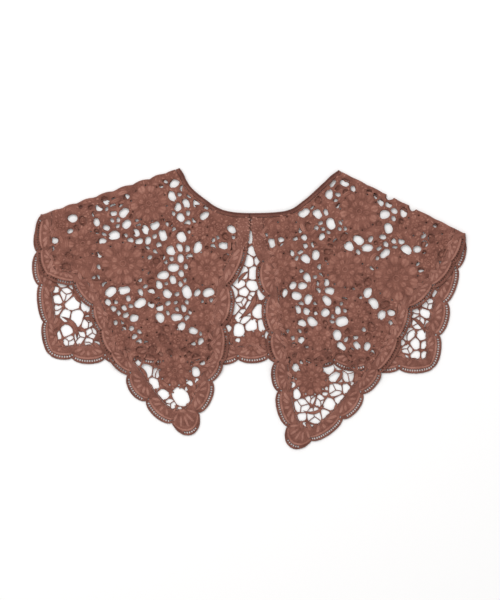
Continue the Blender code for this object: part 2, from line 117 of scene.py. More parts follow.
MILLIMETRE = 0.001
MIDDLE = (-0.7, 1.0)
WALL = 1.0
LAYER_GAP = 0.8
SEAM = 0.3
BAND = 4.5
BORDER = 11.5
FOLD_INNER = LAYER_GAP / 2
FOLD_OUTER = FOLD_INNER + WALL
FLANGE = 4.0
LINE_CLEAR = 1.8
BAR = 1.7
GROUND_REACH = 4.5
REACH_SPREAD = (0.5, 1.2)
WIDE_REACH = 5.0
WIDE_LEAST = 0.85
SAME_PLACE = 1.0
REACH_MOST = 1.15
WIDE_MOST = 1.5
EDGE_BAR = 1.36
FLOWER_BAR = 0.4
FLOWER_KEEP = 0.55
NEAREST = 0.98
NEIGHBOURS = 4
ASIDE = 0.05
GAP_SIDES = 6
GAP_LEAST = 1.6
DARTS = 16000
GAPS_CUT = {"back": 146, "left": 74, "right": 76}
PANEL_SEED = {"back": 11, "left": 23, "right": 37}
WORK_SEED = {"ground": 0, "small gaps": 50, "leaves": 100, "flowers": 7, "filling": 8, "edging": 9,
             "band": 10}
NECK_STEP = 8.0
SEAM_STEP = 9.0
ROUND_GAP = 14
LEAST_REACH = 0.01
LEAST_CROSS = 1e-9
MERGE_WITHIN = 1e-4
PINCH_TURN = 1.7
SQUEEZE = 0.3
OPEN_SQUEEZE = 0.1
OPEN_GAP = 1.12
NARROW_GAP = 1.09
GROUND_LOW = 0.2
GROUND_HIGH = 0.55
BAR_RISE = 0.4
GROUND_STEP = 5.0
# Painted shade: the ground is painted darker than the satin that stands over it, and a painted highlight
# runs along each bar's raised middle.
GROUND_TONE = 0.3
BAR_CREST_HIGHLIGHT = 0.1
UNDER_TONE = 0.35

NECK = ((-69, 141.5), (-60, 123.5), (-43, 109), (-28, 100), (-5, 96.5),
        (35, 98.5), (53, 108.5), (70, 123.5), (87, 139.5))
SHOULDER = {"left": ((-70, 141.5), (-209.5, 94.5)), "right": ((88, 139.5), (215.5, 75.5))}
Dip = namedtuple("Dip", "x y lobe")
BACK_DIPS = [Dip(*row) for row in (
    (-207.5, 88, 0), (-212, 57.5, 6.5), (-210.5, 24.5, 6.8), (-206, -12.5, 4.5),
    (-200, -44.5, 5), (-178, -47.5, 4), (-145, -47.5, 7), (-112, -48.5, 7),
    (-79, -48.5, 7), (-45, -48.5, 7), (-12, -48.5, 7), (18.5, -47, 6),
    (51, -49.5, 7), (84, -52.5, 7), (117, -56.5, 7), (149, -58.5, 6),
    (183, -57.5, 6), (188, -25.5, 5.5), (196, 7.5, 7), (207, 41.5, 5.5),
    (213, 70.5, 6))]
Flower = namedtuple("Flower", "x y radius petals turn")
FLOWERS = {
    "left": [Flower(*row) for row in (
        (-101, 106, 19, 8, 10), (-127, 46, 22, 8, 0), (-43, 41, 18, 8, 20),
        (-43, -8, 15, 6, 5), (-75, -61, 16, 8, 15), (-167, 66, 15, 7, 30),
        (-189, 84, 8, 5, 0), (-50, 78, 9, 6, 0), (-131, -30, 11, 6, 40),
        (-100, -18, 9, 5, 0), (-72, -30, 9, 5, 30), (-32, 82, 8, 6, 10))],
    "right": [Flower(*row) for row in (
        (109, 98, 20, 8, 10), (95, 40, 19, 8, 0), (146, 31, 23, 8, 25),
        (31, 41, 16, 7, 20), (31, -6, 15, 6, 5), (61, -70, 16, 8, 15),
        (69, -29, 13, 6, 30), (37, 82, 11, 6, 0), (166, 84, 11, 6, 45),
        (109, -2, 12, 6, 20), (132, -32, 10, 6, 0), (196, 68, 9, 5, 10),
        (178, 48, 8, 5, 30))],
    "back": [Flower(*row) for row in (
        (3, -34, 13, 7, 12), (-83, -26, 13, 6, 0), (109, -6, 12, 6, 20),
        (136, -36, 13, 7, 0), (-184, 52, 13, 7, 25), (196, 62, 11, 6, 10),
        (-127, 44, 18, 8, 5), (96, 41, 16, 8, 15), (-42, 42, 14, 6, 0),
        (148, 32, 18, 8, 0))]}
Ground = namedtuple("Ground", "x y across down reach")
OPEN_GROUNDS = {
    "left": [Ground(*row) for row in (
        (-102, -64, 9, 20, 5.2), (-72, -88, 20, 10, 5.2), (-133, 88, 14, 16, 4.6),
        (-86, 52, 8, 24, 4.6), (-63, 20, 9, 18, 4.8), (-136, 12, 10, 12, 4.8),
        (-76, 128, 9, 9, 4.2))],
    "right": [Ground(*row) for row in (
        (88, -68, 11, 28, 5.2), (60, -98, 24, 10, 5.2), (82, 86, 9, 18, 4.6),
        (140, 66, 22, 14, 4.8), (106, 63, 16, 6, 4.8), (54, 22, 8, 30, 4.6),
        (92, -12, 8, 10, 4.6), (96, 127, 9, 7, 4.8))],
    "back": [Ground(*row) for row in (
        (-174, -4, 24, 38, 5.2), (172, -10, 22, 42, 5.0), (0, 24, 19, 56, 5.2),
        (-132, 88, 14, 16, 4.6), (-86, 52, 9, 28, 4.6), (-63, 16, 9, 22, 4.8),
        (84, 86, 10, 20, 4.6), (140, 66, 22, 14, 4.8), (54, 22, 9, 30, 4.6))]}
Gap = namedtuple("Gap", "x y reach")
LIGHT_GAPS = [Gap(*row) for row in (
    (-195.5, 69, 4.2), (-126, 97, 5.2), (-135, 74, 5.6), (-120, 69, 3.6), (-111, 68, 3.8),
    (-102, 69, 3.6), (-87, 74, 5.2), (-79, 59, 5.2), (-87, 34, 5.4), (-63, 18, 6.0),
    (-139, 18, 5.4), (-126, 19, 5.4), (-110, 6, 5.6), (-52, 62, 6.0), (-41, 17, 5.2),
    (-56, -21, 4.6), (-77.5, 29.5, 4.2), (-91, 25, 4.4), (-45, 94, 4.6), (-72, 102, 4.6),
    (-64, 106, 4.4), (-83, 16, 4.6), (-18, 80, 4.4), (-144, 108, 4.2), (-104, -61, 6.4),
    (-97, -75, 5.8), (-69, -88, 7.0), (94.5, 127, 4.6), (79, 115, 4.8), (81, 85, 5.6),
    (99, 62, 5.6), (117, 62, 5.0), (135, 56, 5.0), (156, 60, 5.4), (57, 32, 4.8),
    (52, 24, 4.6), (92, -12, 5.8), (75, -3, 4.8), (46, 14, 4.8), (58, 10, 4.6), (48, 0, 4.4),
    (132, -5, 4.6), (107, -36, 4.2), (117, -37, 4.2), (90, -52, 7.4), (86, -68, 5.0),
    (85, -80, 6.4), (52, -97, 6.0), (64, -107, 7.0), (79, -95, 5.6), (47, -84, 4.6))]
NOTCHES = {"left": [], "right": [(140.0, 113.0, 4.6), (162.0, 101.6, 3.9)], "back": []}

Fold = namedtuple("Fold", "neck outer along inward length")


def shoulder_fold(side):
    """Where a shoulder's cloth starts to bend: just inside the outline it ends up with."""
    neck = np.array(SHOULDER[side][0])
    outer = np.array(SHOULDER[side][1])
    length = np.linalg.norm(outer - neck)
    along = (outer - neck) / length
    inward = np.array((along[1], -along[0]))
    if inward[1] > 0:
        inward = -inward
    return Fold(neck + inward * FOLD_OUTER, outer + inward * FOLD_OUTER, along, inward, length)


FOLDS = {side: shoulder_fold(side) for side in SHOULDER}
left_fold, right_fold = FOLDS["left"], FOLDS["right"]


def smooth_line(points, step):
    """A rounded line through a few points, with a point at about every step."""
    knots = [np.array(point, float) for point in points]
    ends = [2 * knots[0] - knots[1]] + knots + [2 * knots[-1] - knots[-2]]
    line = []
    for before, start, end, after in zip(ends, ends[1:], ends[2:], ends[3:]):
        count = max(1, round(np.linalg.norm(end - start) / step))
        for k in range(count):
            t = k / count
            bend = (2 * before - 5 * start + 4 * end - after) * t ** 2
            twist = (3 * start - before - 3 * end + after) * t ** 3
            line.append(0.5 * (2 * start + (end - before) * t + bend + twist))
    line.append(knots[-1])
    return np.array(line)


def lengths(steps):
    """How long each step is."""
    return np.linalg.norm(steps, axis=-1)


def unit_ways(steps):
    """Steps along a line, each made one long."""
    return steps / lengths(steps)[:, None]


def left_of(ways):
    """Ways turned a quarter to the left."""
    return np.column_stack([-ways[:, 1], ways[:, 0]])


def heading(turn):
    """A way one long, at an angle."""
    return np.array((math.cos(turn), math.sin(turn)))


def turns_of(count):
    """Angles spread evenly round a circle."""
    return 2 * math.pi * np.arange(count) / count


def circle_of(count):
    """Points spread evenly round a circle that reaches one from its middle."""
    return np.column_stack([np.cos(turns_of(count)), np.sin(turns_of(count))])


def off_from(place, points):
    """How far points are from a place."""
    return np.hypot(points[:, 0] - place[0], points[:, 1] - place[1])


def shifted(line, distance):
    """A line moved sideways, to its left where the distance is positive."""
    ahead = unit_ways(np.vstack([line[1:] - line[:-1], line[-1:] - line[-2:-1]]))
    behind = np.vstack([ahead[:1], ahead[:-1]])
    return line + distance * left_of(unit_ways(ahead + behind))


def depth_in(fold, points):
    """How far points lie inside a shoulder's bend line."""
    return (np.asarray(points) - fold.neck) @ fold.inward


def fold_room(points):
    """How far inside both shoulders' bend lines the nearest of some points lies."""
    return min(np.min(depth_in(fold, points)) for fold in FOLDS.values())


def from_fold(fold, along, line, starts):
    """A line's points below the shoulder, led by a straight stretch at the shoulder."""
    edge = fold.neck + fold.along * along
    lead = [edge + fold.inward * start for start in starts]
    clear = max(starts) + LINE_CLEAR
    return np.array(lead + [point for point in line if depth_in(fold, point) > clear])


def inside(outline, points):
    """Which points lie inside a closed outline, by counting the edges passed on the way out."""
    points = np.asarray(points)
    within = np.zeros(len(points), bool)
    for (ax, ay), (bx, by) in zip(outline, np.roll(outline, -1, axis=0)):
        crosses = (ay > points[:, 1]) != (by > points[:, 1])
        if ay != by:
            reach = ax + (points[:, 1] - ay) / (by - ay) * (bx - ax)
            within ^= crosses & (points[:, 0] < reach)
    return within


def edge_distance(outline, start, way):
    """How far a straight way from a point inside reaches before the outline."""
    a = np.asarray(outline)
    span = np.roll(a, -1, axis=0) - a
    cross = way[0] * span[:, 1] - way[1] * span[:, 0]
    cross = np.where(abs(cross) < LEAST_CROSS, LEAST_CROSS, cross)
    gap = a - start
    far = (gap[:, 0] * span[:, 1] - gap[:, 1] * span[:, 0]) / cross
    share = (gap[:, 0] * way[1] - gap[:, 1] * way[0]) / cross
    hits = far[(far > 0) & (share >= 0) & (share <= 1)]
    return hits.min() if len(hits) else 0.0


def in_oval(oval, points):
    """Which points lie in an oval part of the ground."""
    return np.hypot((points[:, 0] - oval.x) / oval.across, (points[:, 1] - oval.y) / oval.down) < 1


def ground_reach(part, points):
    """The reach of a gap at each point: wide in an open ground, and small elsewhere."""
    reach = np.full(len(points), GROUND_REACH)
    for ground in OPEN_GROUNDS[part]:
        reach[in_oval(ground, points)] = ground.reach
    return reach


def in_wide_ground(part, place):
    """Whether a place lies in an open ground that has wide gaps."""
    return ground_reach(part, np.array([place]))[0] >= WIDE_REACH


def clear_places(part, outline, places):
    """The places at which a gap stays inside the panel, off its folds and off its flowers."""
    places = places[inside(outline, places[:, :2])]
    for fold in FOLDS.values():
        places = places[depth_in(fold, places[:, :2]) > places[:, 2] + BAR]
    for flower in FLOWERS[part]:
        places = places[off_from(flower, places) > flower.radius + FLOWER_KEEP * places[:, 2]]
    return places


def apart_from(place, others):
    """The places that stand well apart from one place."""
    return others[off_from(place, others) > NEAREST * (place[2] + others[:, 2])]


def gap_places(part, outline, shared):
    """Places of the gaps: the measured ones and the shared ones first, then the seeded ones."""
    dice = dice_for(part, "ground")
    low, high = outline.min(axis=0), outline.max(axis=0)
    darts = [(dice.uniform(low[0], high[0]), dice.uniform(low[1], high[1])) for _ in range(DARTS)]
    spread = np.array([dice.uniform(*REACH_SPREAD) for _ in range(DARTS)])
    darts = np.array(darts)
    reach = ground_reach(part, darts)
    wide = reach >= WIDE_REACH
    reach = reach * np.where(wide, np.maximum(spread, WIDE_LEAST), spread)
    darts = np.column_stack([darts, reach])
    darts = np.vstack([darts[wide], darts[~wide]])
    waiting = clear_places(part, outline, np.vstack([LIGHT_GAPS, shared, darts]))
    places = [np.array(place) for place in NOTCHES[part]]
    for place in places:
        waiting = apart_from(place, waiting)
    while len(waiting):
        places.append(waiting[0])
        waiting = apart_from(waiting[0], waiting)
    return np.array(places)


def gap_outline(part, outline, places, place, sides):
    """One gap, as wide as its neighbours, the flowers and the panel's edge leave it."""
    x, y, reach = place
    flowers = np.array(FLOWERS[part])
    apart, off = off_from(place, places), off_from(place, flowers)
    near = (apart > 0) & (apart < NEIGHBOURS * reach)
    ways = np.vstack([(places[near, :2] - (x, y)) / apart[near, None],
                      (flowers[:, :2] - (x, y)) / off[:, None]])
    share = reach / (reach + places[near, 2])
    room = np.concatenate([apart[near] * share - BAR / 2, off - flowers[:, 2] - FLOWER_BAR])
    most = reach * (WIDE_MOST if in_wide_ground(part, (x, y)) else REACH_MOST)
    ring = []
    for k in range(sides):
        way = heading(2 * math.pi * k / sides + x)
        far = min(most, edge_distance(outline, (x, y), way) - EDGE_BAR)
        towards = ways @ way
        ahead = towards > ASIDE
        far = min(far, (room[ahead] / towards[ahead]).min(initial=far))
        ring.append((x, y) + way * max(far, 0.0))
    return np.array(ring)


def dice_for(part, work):
    """A panel's random draws for one kind of work, the same in every run."""
    return random.Random(PANEL_SEED[part] + WORK_SEED[work])


def area_of(ring):
    """The area inside a closed outline."""
    x, y = ring[:, 0], ring[:, 1]
    return 0.5 * abs(np.dot(x, np.roll(y, -1)) - np.dot(y, np.roll(x, -1)))


def narrowest(ring):
    """The shortest way from a gap's middle to its rim."""
    return lengths(ring - ring.mean(axis=0)).min()


def rim_reach(ring):
    """How far a gap's rim is from its middle, on the average."""
    return lengths(ring - ring.mean(axis=0)).mean()


def soft_gap(part, outline, places, place):
    """The same gap with rounded corners, drawn a little longer one way than the other."""
    middle = place[:2]
    ring = gap_outline(part, outline, places, place, ROUND_GAP) - middle
    reaches = np.maximum(lengths(ring), LEAST_REACH)
    eased = np.minimum(reaches, reaches / 2 + (np.roll(reaches, 1) + np.roll(reaches, -1)) / 4)
    pinch = np.sin(turns_of(ROUND_GAP) - middle[0] - PINCH_TURN * middle[1]) ** 2
    size = NARROW_GAP * (1 - SQUEEZE * pinch)
    if in_wide_ground(part, middle):
        size = OPEN_GAP * (1 - OPEN_SQUEEZE * pinch)
        eased = (reaches + eased) / 2
    return middle + ring * (eased / reaches * size)[:, None]


def gap_order(part, outline, places, below):
    """Which gaps are open right through, the open grounds' first, then those over a gap of
    the layer below, then the widest. The rest come after them."""
    rings = [gap_outline(part, outline, places, place, GAP_SIDES) for place in places]
    good = [k for k, ring in enumerate(rings) if narrowest(ring) > GAP_LEAST]
    middles = np.array([rings[k].mean(axis=0) for k in good])
    wide = ground_reach(part, middles) >= WIDE_REACH
    apart = lengths(middles[:, None] - below[None]).min(axis=1, initial=SAME_PLACE)
    areas = np.array([area_of(rings[k]) for k in good])
    order = np.lexsort((-areas, apart >= SAME_PLACE, ~wide))[:GAPS_CUT[part]]
    first = [good[k] for k in order]
    return first, [k for k in range(len(places)) if k not in set(first)], middles[order]


def back_lay(x, y, height):
    """The back lies straight on the table."""
    return x, y, height


YARN = {"Roughness": 0.82, "Specular IOR Level": 0.25, "Sheen Weight": 0.12,
        "Sheen Roughness": 0.5, "Sheen Tint": (0.9, 0.6, 0.52, 1.0)}
Cloud = namedtuple("Cloud", "scale detail share")
DYE = Cloud(scale=120.0, detail=4.0, share=0.85)
FUZZ = Cloud(scale=700.0, detail=2.0, share=0.6)
SHADE_EASE = 0.575
DARK_AT = 0.55
MIDDLE_AT = 0.78


def cotton(name, dark, middle, light, stitch, rise):
    """Cotton yarn: coloured by the tone at each point, which carries painted shade for how high a stitch
    stands along with tone that differs at random, with ridges along each satin stitch.
    """
    material = bpy.data.materials.new(name)
    material.use_nodes = True
    nodes = material.node_tree.nodes
    link = material.node_tree.links.new
    shader = nodes["Principled BSDF"]
    for socket, value in YARN.items():
        shader.inputs[socket].default_value = value
    height = nodes.new("ShaderNodeAttribute")
    height.attribute_name = "tone"
    shade = height.outputs["Fac"]
    place = nodes.new("ShaderNodeTexCoord")
    for cloud in (DYE, FUZZ):
        noise = shader_node(nodes, "TexNoise", {"Scale": cloud.scale, "Detail": cloud.detail})
        link(place.outputs["Object"], noise.inputs["Vector"])
        added = shader_node(nodes, "Math", {1: cloud.share})
        added.operation = "MULTIPLY_ADD"
        link(noise.outputs["Fac"], added.inputs[0])
        link(shade, added.inputs[2])
        shade = added.outputs["Value"]
    ease = shader_node(nodes, "Math", {1: SHADE_EASE})
    ease.operation = "MULTIPLY"
    link(shade, ease.inputs[0])
    ramp = nodes.new("ShaderNodeValToRGB")
    stops = ramp.color_ramp.elements
    stops[0].position = DARK_AT
    stops.new(MIDDLE_AT)
    for stop, colour in zip(stops, (dark, middle, light)):
        stop.color = (*colour, 1.0)
    link(ease.outputs["Value"], ramp.inputs["Fac"])
    link(ramp.outputs["Color"], shader.inputs["Base Color"])
    thread = nodes.new("ShaderNodeUVMap")
    thread.uv_map = "stitches"
    wave = shader_node(nodes, "TexWave", {"Scale": stitch, "Distortion": 1.2, "Detail": 2.0})
    wave.bands_direction = "X"
    link(thread.outputs["UV"], wave.inputs["Vector"])
    ridge = shader_node(nodes, "Bump", {"Strength": 0.8, "Distance": rise})
    link(wave.outputs["Fac"], ridge.inputs["Height"])
    link(ridge.outputs["Normal"], shader.inputs["Normal"])
    return material


def stitched(name, points, faces, tones, threads, material, slot, ride_on=None):
    """A piece from its points in millimetres, with a tone and a thread place at each point. The tone
    carries painted shade along with the yarn's own tone.
    """
    mesh = bpy.data.meshes.new(name)
    metres = (np.asarray(points, float) - (*MIDDLE, 0.0)) * MILLIMETRE
    mesh.from_pydata(metres.tolist(), [], faces)
    mesh.polygons.foreach_set("use_smooth", [True] * len(mesh.polygons))
    tone = mesh.attributes.new("tone", "FLOAT", "POINT")
    tone.data.foreach_set("value", np.asarray(tones, np.float32))
    corners = np.empty(len(mesh.loops), np.int32)
    mesh.loops.foreach_get("vertex_index", corners)
    sheet = mesh.uv_layers.new(name="stitches")
    sheet.data.foreach_set("uv", np.asarray(threads, np.float32)[corners].ravel())
    mesh.materials.append(material)
    piece = bpy.data.objects.new(name, mesh)
    bpy.context.scene.collection.objects.link(piece)
    if ride_on is None:
        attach(piece, "root")
    else:
        piece.parent = ride_on
    return piece


def ground_plan(outline, rings, bends):
    """A panel cut into flat faces, all but its gaps, and which points lie on a rim."""
    points, edges = [], []
    for ring in [outline] + rings:
        first, count = len(points), len(ring)
        points += [tuple(p) for p in ring]
        edges += [(first + k, first + (k + 1) % count) for k in range(count)]
    rim_count = len(points)
    for line in bends:
        first = len(points)
        points += [tuple(p) for p in line]
        edges += [(first + k, first + k + 1) for k in range(len(line) - 1)]
    low, high = np.min(outline, axis=0), np.max(outline, axis=0)
    columns = np.arange(low[0], high[0], GROUND_STEP)
    rows = np.arange(low[1], high[1], GROUND_STEP)
    loose = np.array([(x + (k % 2) * GROUND_STEP / 2, y) for k, y in enumerate(rows) for x in columns])
    loose = loose[inside(outline, loose)]
    for ring in rings:
        middle = ring.mean(axis=0)
        reach = lengths(ring - middle).max() + 1.0
        loose = loose[lengths(loose - middle) > reach]
    points += [tuple(p) for p in loose]
    flat, _, faces, sources, _, _ = delaunay_2d_cdt(points, edges, [], 0, MERGE_WITHIN, True)
    flat = np.array([tuple(p) for p in flat])
    middles = np.array([flat[list(face)].mean(axis=0) for face in faces])
    kept = inside(outline, middles)
    for ring in rings:
        boxed = (middles > ring.min(axis=0)) & (middles < ring.max(axis=0))
        near = np.nonzero(kept & np.all(boxed, axis=1))[0]
        if len(near):
            kept[near[inside(ring, middles[near])]] = False
    on_rim = [any(number < rim_count for number in source) for source in sources]
    return flat, [face for face, good in zip(faces, kept) if good], on_rim


def ground_piece(name, outline, rings, bends, lay, material, slot):
    """A panel of bars between gaps, rounded along the middle of each bar."""
    flat, faces, on_rim = ground_plan(outline, rings, bends)
    cloth = bmesh.new()
    rise = cloth.verts.layers.float.new("rise")
    spots = {}
    for face in faces:
        for k in face:
            if k not in spots:
                spots[k] = cloth.verts.new((*flat[k], 0.0))
                spots[k][rise] = 0.0 if on_rim[k] else 1.0
        cloth.faces.new([spots[k] for k in face])
    bars = [edge for edge in cloth.edges
            if len(edge.link_faces) == 2 and edge.verts[0][rise] == edge.verts[1][rise] == 0.0]
    widths = {}
    for edge in bars:
        middle = (edge.verts[0].co + edge.verts[1].co) / 2
        widths[tuple(round(v, 3) for v in middle)] = edge.calc_length()
    rims = set(cloth.verts)
    bmesh.ops.subdivide_edges(cloth, edges=bars, cuts=1)
    for vert in cloth.verts:
        if vert not in rims:
            width = widths.get(tuple(round(v, 3) for v in vert.co), BAR)
            vert[rise] = min(1.0, width / BAR)
    bmesh.ops.triangulate(cloth, faces=[face for face in cloth.faces if len(face.verts) > 4])
    made = bmesh.ops.extrude_face_region(cloth, geom=cloth.faces[:], use_keep_orig=True)
    top = {item for item in made["geom"] if isinstance(item, bmesh.types.BMVert)}
    cloth.verts.index_update()
    places, tones, threads = [], [], []
    for vert in cloth.verts:
        over = vert in top
        height = GROUND_HIGH + BAR_RISE * vert[rise] if over else GROUND_LOW
        places.append([float(v) for v in lay(vert.co.x, vert.co.y, height)])
        # Painted shade: a bar's top is painted lighter along its raised middle and darker at the gaps'
        # rims.
        tones.append(GROUND_TONE + BAR_CREST_HIGHLIGHT * vert[rise] if over else UNDER_TONE)
        threads.append((vert.co.x, vert.co.y))
        vert.co = places[-1]
    bmesh.ops.recalc_face_normals(cloth, faces=cloth.faces[:])
    faces = sorted([vert.index for vert in face.verts] for face in cloth.faces)
    cloth.free()
    return stitched(name, places, faces, tones, threads, material, slot)


BACK_START = FLANGE + SEAM
neck_line = smooth_line(NECK, NECK_STEP)


def across_back(line, left_along, right_along):
    """A line of the back from one shoulder seam to the other."""
    line = from_fold(left_fold, left_along, line, [BACK_START])
    end = right_fold.neck + right_fold.along * right_along + right_fold.inward * BACK_START
    return np.vstack([line[depth_in(right_fold, line) > BACK_START + LINE_CLEAR], end])


back_seam = across_back(smooth_line(shifted(np.array(BACK_DIPS)[:, :2], BORDER), SEAM_STEP),
                        left_fold.length - BORDER, right_fold.length - BORDER)
back_lace_top = across_back(shifted(neck_line, -BAND - SEAM), BAND + SEAM, BAND + SEAM)
back_outline = np.vstack([back_seam, back_lace_top[::-1]])

lace_cotton = cotton("lace_cotton", (0.172, 0.062, 0.044), (0.312, 0.126, 0.091),
                     (0.45, 0.208, 0.157), 0.6, 0.00025)
LEAF_TRIES = 5000
LEAF_LENGTHS = (7.5, 14.0)
LEAF_HALF = 0.17
LEAF_BOW = 0.22
LEAF_ROWS = 9
LEAF_APART = 2.9
OVER_FLOWER = 0.3
OVER_GAP = 0.35
SMALL_GAP = 0.95
LOOSE_GAPS = 0.3
LOOSE_PLACE = 1.3
Airy = namedtuple("Airy", "x y across down")
AIRY = [Airy(*row) for row in (
    (-88, 134, 15, 7), (-74, 100, 16, 22), (-146, 82, 26, 11), (-108, 68, 30, 7), (-74, 24, 15, 48),
    (-124, 6, 20, 15), (-108, -20, 26, 14), (-52, 66, 18, 7), (-46, 17, 16, 7), (-52, -24, 9, 9),
    (-22, 82, 10, 8), (95, 128, 12, 7), (78, 112, 13, 20), (146, 104, 22, 12), (136, 62, 42, 11),
    (52, 24, 13, 48), (84, 84, 9, 16), (84, -4, 24, 12), (104, -36, 18, 9), (138, -6, 12, 9),
    (178, 76, 13, 12))]
EYELET = 0.9
EYELET_SHARE = 0.95
EYELET_SIDES = 8
EYELET_FOLD = 1.0
EYELET_FLOWER = 8.0
BIG_FLOWER = 16.0
Leaf = namedtuple("Leaf", "spine half")


def curved(start, end, bow, count):
    """A line that bows to one side between two points."""
    start, end = np.asarray(start, float), np.asarray(end, float)
    side = np.array((start[1] - end[1], end[0] - start[0]))
    t = np.linspace(0.0, 1.0, count)[:, None]
    return start + (end - start) * t + side * bow * 4 * t * (1 - t)


def leaves_for(part, outline, cut):
    """Leaves scattered over the ground, clear of its wide gaps, its flowers and each other."""
    dice = dice_for(part, "leaves")
    low, high = outline.min(axis=0), outline.max(axis=0)
    wide = np.array([ring.mean(axis=0) for ring in cut])
    reaches = np.array([rim_reach(ring) for ring in cut])
    found = []
    taken = np.empty((0, 2))
    for _ in range(LEAF_TRIES):
        middle = np.array((dice.uniform(low[0], high[0]), dice.uniform(low[1], high[1])))
        turn = dice.uniform(0.0, 2 * math.pi)
        length = dice.uniform(*LEAF_LENGTHS)
        bow = dice.uniform(-LEAF_BOW, LEAF_BOW)
        way = heading(turn) * length / 2
        spine = curved(middle - way, middle + way, bow, LEAF_ROWS)
        half = LEAF_HALF * length
        if not inside(outline, spine).all() or fold_room(spine) < half:
            continue
        if any(in_oval(zone, middle[None])[0] for zone in AIRY):
            continue
        if any(off_from(flower, spine).min() < flower.radius + OVER_FLOWER * half
               for flower in FLOWERS[part]):
            continue
        apart = lengths(spine[:, None] - wide[None]) - reaches
        if apart.min() < OVER_GAP * half:
            continue
        if len(taken) and lengths(spine[:, None] - taken[None]).min() < LEAF_APART:
            continue
        found.append(Leaf(spine, half))
        taken = np.vstack([taken, spine])
    return found


def petals_of(flower):
    """How many petals the outer whorl has."""
    return flower.petals + (2 if flower.radius >= BIG_FLOWER else 0)


def eyelets_for(part, outline):
    """The small round eyelets between the petals of each flower."""
    circle = EYELET * circle_of(EYELET_SIDES)
    rings = []
    for flower in FLOWERS[part]:
        count = petals_of(flower)
        for k in range(count if flower.radius > EYELET_FLOWER else 0):
            turn = math.radians(flower.turn) + 2 * math.pi * (k + 0.5) / count
            rings.append(flower[:2] + EYELET_SHARE * flower.radius * heading(turn) + circle)
    return [ring for ring in rings if inside(outline, ring).all() and fold_room(ring) > EYELET_FOLD]


def declare_cloth(part, under):
    """Works out what holds a sheet, the table or the piece under it, and keeps nothing."""
    held, under = ("laid", "table") if part == "back" else ("folded", under)


def small_gaps(part, rings, dice):
    """The gaps that no leaf covers. Most of a front's that lie over the back's bars are closed."""
    spines = np.vstack([leaf.spine for leaf in leaves[part]])
    below = np.array([ring.mean(axis=0) for ring in open_gaps.get("back", [])])
    small = []
    for ring in rings:
        middle = ring.mean(axis=0)
        clear = lengths(spines - middle).min() > 0.5 * rim_reach(ring)
        loose = part != "back" and inside(back_outline, middle[None])[0]
        loose = loose and lengths(below - middle).min() > LOOSE_PLACE
        if clear and narrowest(ring) > GAP_LEAST / 2 and (not loose or dice.random() < LOOSE_GAPS):
            small.append(middle + (ring - middle) * SMALL_GAP)
    return small


def panel_ground(part, outline, places, below, bends, lay):
    """A panel's ground, with its gaps and eyelets. Its leaves and gaps are kept for later."""
    first, others, middles = gap_order(part, outline, places, below)
    cut = [soft_gap(part, outline, places, places[k]) for k in first]
    rings = [soft_gap(part, outline, places, places[k]) for k in others]
    leaves[part] = leaves_for(part, outline, cut)
    small = small_gaps(part, rings, dice_for(part, "small gaps"))
    wide_gaps[part] = cut
    open_gaps[part] = cut + small
    holes = cut + small + eyelets_for(part, outline)
    grounds[part] = ground_piece(PANEL[part] + "_lace_ground", outline, holes, bends, lay,
                                 lace_cotton, "lace")
    declare_cloth(part, "back_lace_ground")
    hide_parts(PANEL[part] + "_lace")
    return middles


PANEL = {"back": "back", "left": "left_front", "right": "right_front"}
lays = {"back": back_lay}
outlines = {"back": back_outline}
wide_gaps, open_gaps, leaves, grounds = {}, {}, {}, {}
back_places = gap_places("back", back_outline, np.empty((0, 3)))
back_gaps = panel_ground("back", back_outline, back_places, np.empty((0, 2)), [], back_lay)


# The two fronts' lace grounds are the same guipure. Each is one piece with the back in the
# real collar: it turns over the shoulder, lies on the back, and its point comes down to the
# table past the back's hem.

FOLD_MIDDLE = FOLD_INNER + WALL / 2
WRAP = math.pi * FOLD_MIDDLE + FLANGE
FRONT_LEVEL = WALL + LAYER_GAP
HEM_CLEAR = 1.5
DROP_LENGTH = 15.0
HEM_X = (-200, -160, 0, 120, 200)
HEM_Y = (-53.5, -54.5, -55.0, -61.5, -65.0)
PAST_EDGE = 20.0
OUTWARD = {"left": -1, "right": 1}
LINED_UP = 0.85
FRONT_STARTS = tuple(np.linspace(-WRAP, -math.pi * FOLD_MIDDLE, 3)) + tuple(
    np.linspace(-math.pi * FOLD_MIDDLE, 0.0, 8)[1:])
FOLD_WAVE = {"left": 0.85, "right": 0.3}
WAVE_LONG = 5.6
WAVE_DRIFT = 23.0
WAVE_LOW = 1.1
FOLD_FADE = 14.0
FOLD_ENDS = 25.0
TABLE_CLEAR = 0.02
BEND_STEP = 3.5
FRONT_DIPS = {
    "left": [Dip(*row) for row in (
        (-209, 93.2, 0), (-211, 60, 5), (-204, 33, 5), (-177, 25, 3),
        (-159, 3, 4), (-151, -22, 4), (-141, -45.5, 4), (-121, -64.5, 5),
        (-103, -90.5, 9.4), (-78, -112.5, 7.5), (-52, -102.5, 19), (-39, -71.5, 8),
        (-28, -53.5, 4), (-26, -15.5, 6), (-21, 23.5, 8), (-4, 60.5, 5),
        (-1.6, 91.7, 2))],
    "right": [Dip(*row) for row in (
        (214.5, 74.3, 0), (204, 46.5, 4), (184, 22.5, 5), (161, 0.5, 5),
        (150, -30.5, 4), (130, -62.5, 5), (112, -83.5, 6), (92, -108.5, 7.7),
        (61, -130.5, 6.4), (38, -116.5, 17), (29, -81.5, 7), (26, -52.5, 6.5),
        (20, -23.5, 6), (17, 13.5, 7), (11, 47.5, 8), (3.2, 72, 3),
        (2.2, 91.7, 1.5))]}


def cut_at(line, x):
    """A line up to the place where it passes x, ending there."""
    forward = np.sign(line[-1][0] - line[0][0])
    order = np.argsort(line[:, 0])
    y = np.interp(x, line[order, 0], line[order, 1])
    return np.vstack([line[forward * (x - line[:, 0]) > 1.0], (x, y)])


